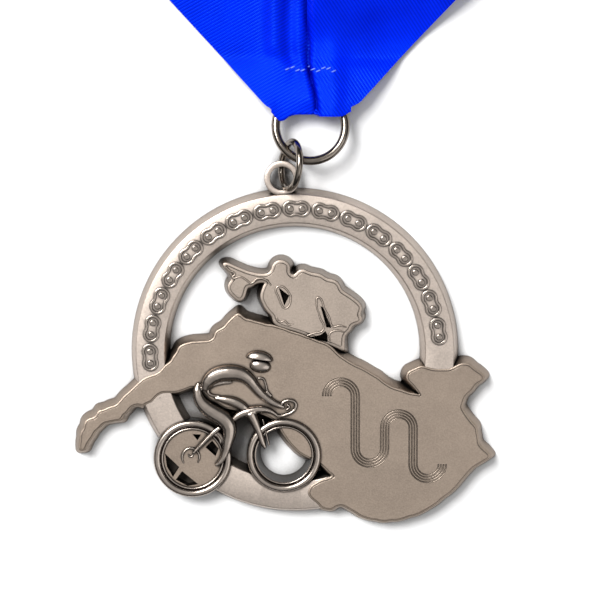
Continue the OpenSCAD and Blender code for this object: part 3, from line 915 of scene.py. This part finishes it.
def endRows(side):
    # a sewn end behind the ring, round the fold, and along one arm to the stack
    out = 0.42 * side
    # how far up the arm, height, left and right of the tip, and how far gathered
    steps = [(10.5, 0.62 - out, 8, 8, 1), (8, 0.66 - out, 8, 8, 1), (5, 0.8 - out, 7.4, 7.4, 1),
             (3, 1.15 - out, 6.5, 6, 1), (1.5 - out, 1.6 - out, 5.3, 4.1, 1),
             (0.9 - out, 2.2 - out / 2, 5.3, 4.1, 1), (0.8 - out, 3.2, 5.3, 4.1, 1),
             (0.5 - out, 4.1, 5.4, 4.2, 1), (0.2 - out, 4.4, 5.9, 4.6, 0.8),
             (-0.35 - out, 4.12 + out / 2, 0, 0, 0), (-0.42 - out, 4.3 + out / 2, 0, 0, 0),
             (-0.3 - out / 2, 4.4 + out / 4, 0, 0, 0)]
    rows = [tipRow(side, e, z, tip.x - left, tip.x + right, share) for e, z, left, right, share in steps]
    reach = stackLow.y - tip.y
    count = round(reach / ribbon["row"])
    return rows + [frontRow(side, reach * (i / count) ** 1.15) for i in range(count + 1)]


def cornerRows(side):
    # fans the rows round from level to the slanted fold line at the arm's outer corner
    e = stackLow.y - tip.y
    level = frontRow(side, e)
    lean = math.atan(ribbon["rightLean"] if side else ribbon["leftLean"])
    outer = level[0].copy()
    rise = stackHigh.y - stackLow.y
    across = rise / math.tan(math.pi / 4 + lean / 2)
    far = Vector((outer.x + (-across if side else across), stackHigh.y, outer.z))
    rows = []
    for i in range(1, 9):
        z = stackTop + 0.35 if side else 0.35
        near = outer + Vector((0, 0.2 * i, 0))
        rows.append(straightRow(near, level[-1].lerp(far, i / 8), outer.z + (z - outer.z) * eased(i / 3)))
    return rows, Vector((outer.x, outer.y + 1.6, 0)), Vector((far.x, far.y, 0))


def foldRows(start, end, low, high, inward):
    # a sharp pressed fold from one level to the next
    rise = high - low
    steps = [(0.5, 0.0), (0.12, 0.06), (0.0, 0.5), (0.12, 0.94), (0.5, 1.0)]
    return [straightRow(start + inward * d, end + inward * d, low + rise * part) for d, part in steps]


def ribbonRows():
    # from one sewn end, up the left arm, back and forth through the stack, and down the right arm
    fan, outer, inner = cornerRows(0)
    rows = endRows(0) + fan
    fanRight, outerRight, innerRight = cornerRows(1)
    level = 0.35
    step = ribbon["layerRise"]
    rows += foldRows(outer, inner, level, level + step, Vector((1, 0, 0)))
    level += step
    ends = (stackLow.x + 2.4, stackHigh.x - 2.2)
    heading = 1
    here = (outer.x + 0.5, inner.x + 0.5)
    for layer in range(ribbon["layers"]):
        sway = ribbon["sway"] * math.sin(layer * 2.3)
        last = layer == ribbon["layers"] - 1
        stop = ends[1] - 0.7 * (layer % 3) if heading > 0 else ends[0] + 0.6 * (layer % 4)
        edges = (outerRight.x, innerRight.x) if last else (stop, stop)
        aim = tuple(x - 0.5 * heading for x in edges)
        for i in range(1, 17):
            part = i / 17
            a = Vector((here[0] + (aim[0] - here[0]) * part, stackLow.y, 0))
            b = Vector((here[1] + (aim[1] - here[1]) * part, stackHigh.y, 0))
            rows.append(straightRow(a, b, level, sway * math.sin(math.pi * part)))
        if last:
            break
        a = Vector((stop, stackLow.y, 0))
        b = Vector((stop, stackHigh.y, 0))
        rows += foldRows(a, b, level, level + step, Vector((-heading, 0, 0)))
        level += step
        heading = -heading
        here = aim
    rows += foldRows(outerRight, innerRight, level, stackTop + 0.35, Vector((-1, 0, 0)))
    return rows + fanRight[::-1] + endRows(1)[::-1]


def makeRibbon():
    rows = ribbonRows()
    columns = ribbon["columns"]
    bm = bmesh.new()
    bmesh.ops.create_grid(bm, x_segments=columns, y_segments=len(rows) - 1, size=1)
    bm.verts.ensure_lookup_table()
    along = [[0.0] * (columns + 1)]
    for before, row in zip(rows, rows[1:]):
        along.append([d + (b - a).length for d, a, b in zip(along[-1], before, row)])
    lean = math.atan(ribbon["leftLean"])
    flow = {}
    for v in bm.verts:
        column = round((v.co.x + 1) / 2 * columns)
        line = round((v.co.y + 1) / 2 * (len(rows) - 1))
        place = rows[line][column]
        e = place.y - tip.y
        if e < stackLow.y - tip.y:
            turn = lean if line < len(rows) / 2 else -lean
            flow[v] = (place.x * math.cos(turn) + e * math.sin(turn),
                       e * math.cos(turn) - place.x * math.sin(turn))
        else:
            flow[v] = (ribbon["width"] * column / columns, along[line][columns // 2])
        v.co = place
    cloth = bm.loops.layers.uv.new("cloth")
    for face in bm.faces:
        for loop in face.loops:
            loop[cloth].uv = flow[loop.vert]
    length = along[-1][columns // 2]
    print("ribbon rows", len(rows), "length", round(length))
    arms = [v for v in bm.verts if not v.is_boundary and v.co.y < stackLow.y - 3]
    bmesh.ops.smooth_vert(bm, verts=arms, factor=0.3, use_axis_x=True, use_axis_y=True, use_axis_z=True)
    bmesh.ops.recalc_face_normals(bm, faces=bm.faces[:])
    holder = linked("cloth", meshOf(bm))
    wall = holder.modifiers.new("wall", "SOLIDIFY")
    wall.thickness = ribbon["cloth"]
    wall.offset = 0
    bm = evaluated(holder)
    piece = finished(bm, "neckRibbon", satin, None, "ribbon_blue",
                     "ribbon_fold", "ribbon_arms", "ribbon_stack", sharp=70)
    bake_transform(piece)
    length / 1000


makeRibbon()

stitches = {"count": 10, "pitch": 1.1, "length": 0.8, "radius": 0.15}


def makeStitches():
    # short slack stitches across the crease, holding both arms together
    low, high = corners("ribbon_stitches")
    data = bpy.data.curves.new("stitches", "CURVE")
    data.dimensions = "3D"
    data.bevel_depth = 1
    data.bevel_resolution = 3
    data.resolution_u = 5
    data.use_fill_caps = True
    for i in range(stitches["count"]):
        x = (low.x + high.x) / 2 + (i - (stitches["count"] - 1) / 2) * stitches["pitch"]
        e = low.y - tip.y + 0.4 * math.sin(i * 1.9)
        spline = data.splines.new("BEZIER")
        spline.bezier_points.add(2)
        for point, part in zip(spline.bezier_points, (-0.5, 0, 0.5)):
            px = x + part * stitches["length"]
            side = 1 if px > crease(e) else 0
            surface = clothHeight(px, e) + side * ribbon["overlap"]
            height = surface + ribbon["cloth"] * 0.5 + (0.12 if part == 0 else -0.12)
            point.co = (px, tip.y + e + part * 0.35, height)
            point.radius = stitches["radius"]
            point.handle_left_type = point.handle_right_type = "AUTO"
    bm = evaluated(linked("stitches", data))
    finished(bm, "vStitching", thread, "ribbon", "thread_blue", "ribbon_stitches", sharp=60)


makeStitches()
print("ribbon made")

studio = {"floor": 0.92, "shade": (0.06, 0.05, 0.042), "sky": 0.58, "horizon": 0.05, "dusk": 0.5,
          "key": 22.5, "keySize": 0.6, "keyAt": (-0.55, 0.6, 1.0),
          "fill": 2.6, "fillSize": 0.9, "fillAt": (0.7, -0.3, 0.9)}


def makeFloor():
    bm = bmesh.new()
    bmesh.ops.create_grid(bm, x_segments=2, y_segments=2, size=2.5)
    bmesh.ops.translate(bm, vec=(0, 0, -0.0002), verts=bm.verts[:])
    floor = linked("floor", meshOf(bm, "floor"))
    paper = Finish("paper")
    grain = paper.noise(paper.place(), 1.5)
    pale = (studio["floor"],) * 3
    white = paper.mix(grain, pale, tuple(c * 0.99 for c in pale))
    under = (paper.recess(6.0) * 2.6 - 0.82).clamped()  # little light reaches the paper beneath the casting
    paper.surface(Base_Color=paper.mix(under, studio["shade"], white), Roughness=0.9)
    paper.surface(Specular_IOR_Level=0.1)
    floor.data.materials.append(paper.material)


def softbox(name, power, size, at):
    data = bpy.data.lights.new(name, "AREA")
    data.shape = "SQUARE"
    data.size = size
    data.energy = power
    lamp = bpy.data.objects.new(name, data)
    bpy.context.collection.objects.link(lamp)
    lamp.location = at
    lamp.rotation_euler = Vector(at).to_track_quat("Z", "Y").to_euler()


def makeSky():
    # an even studio: pale overhead and darker towards the horizon
    world = bpy.data.worlds.new("studio")
    world.use_nodes = True
    bpy.context.scene.world = world
    tree = world.node_tree
    where = tree.nodes.new("ShaderNodeTexCoord")
    split = tree.nodes.new("ShaderNodeSeparateXYZ")
    ramp = tree.nodes.new("ShaderNodeValToRGB")
    tree.links.new(where.outputs["Generated"], split.inputs[0])
    tree.links.new(split.outputs[2], ramp.inputs[0])
    tree.links.new(ramp.outputs[0], tree.nodes["Background"].inputs["Color"])
    low, high = studio["horizon"], studio["sky"]
    ramp.color_ramp.elements[0].position = studio["dusk"]
    ramp.color_ramp.elements[0].color = (low, low, low, 1)
    ramp.color_ramp.elements[1].position = 0.95
    ramp.color_ramp.elements[1].color = (high, high, high, 1)


makeFloor()
makeSky()
softbox("key", studio["key"], studio["keySize"], studio["keyAt"])
softbox("fill", studio["fill"], studio["fillSize"], studio["fillAt"])
bpy.context.scene.view_settings.view_transform = "Standard"
print("studio made")
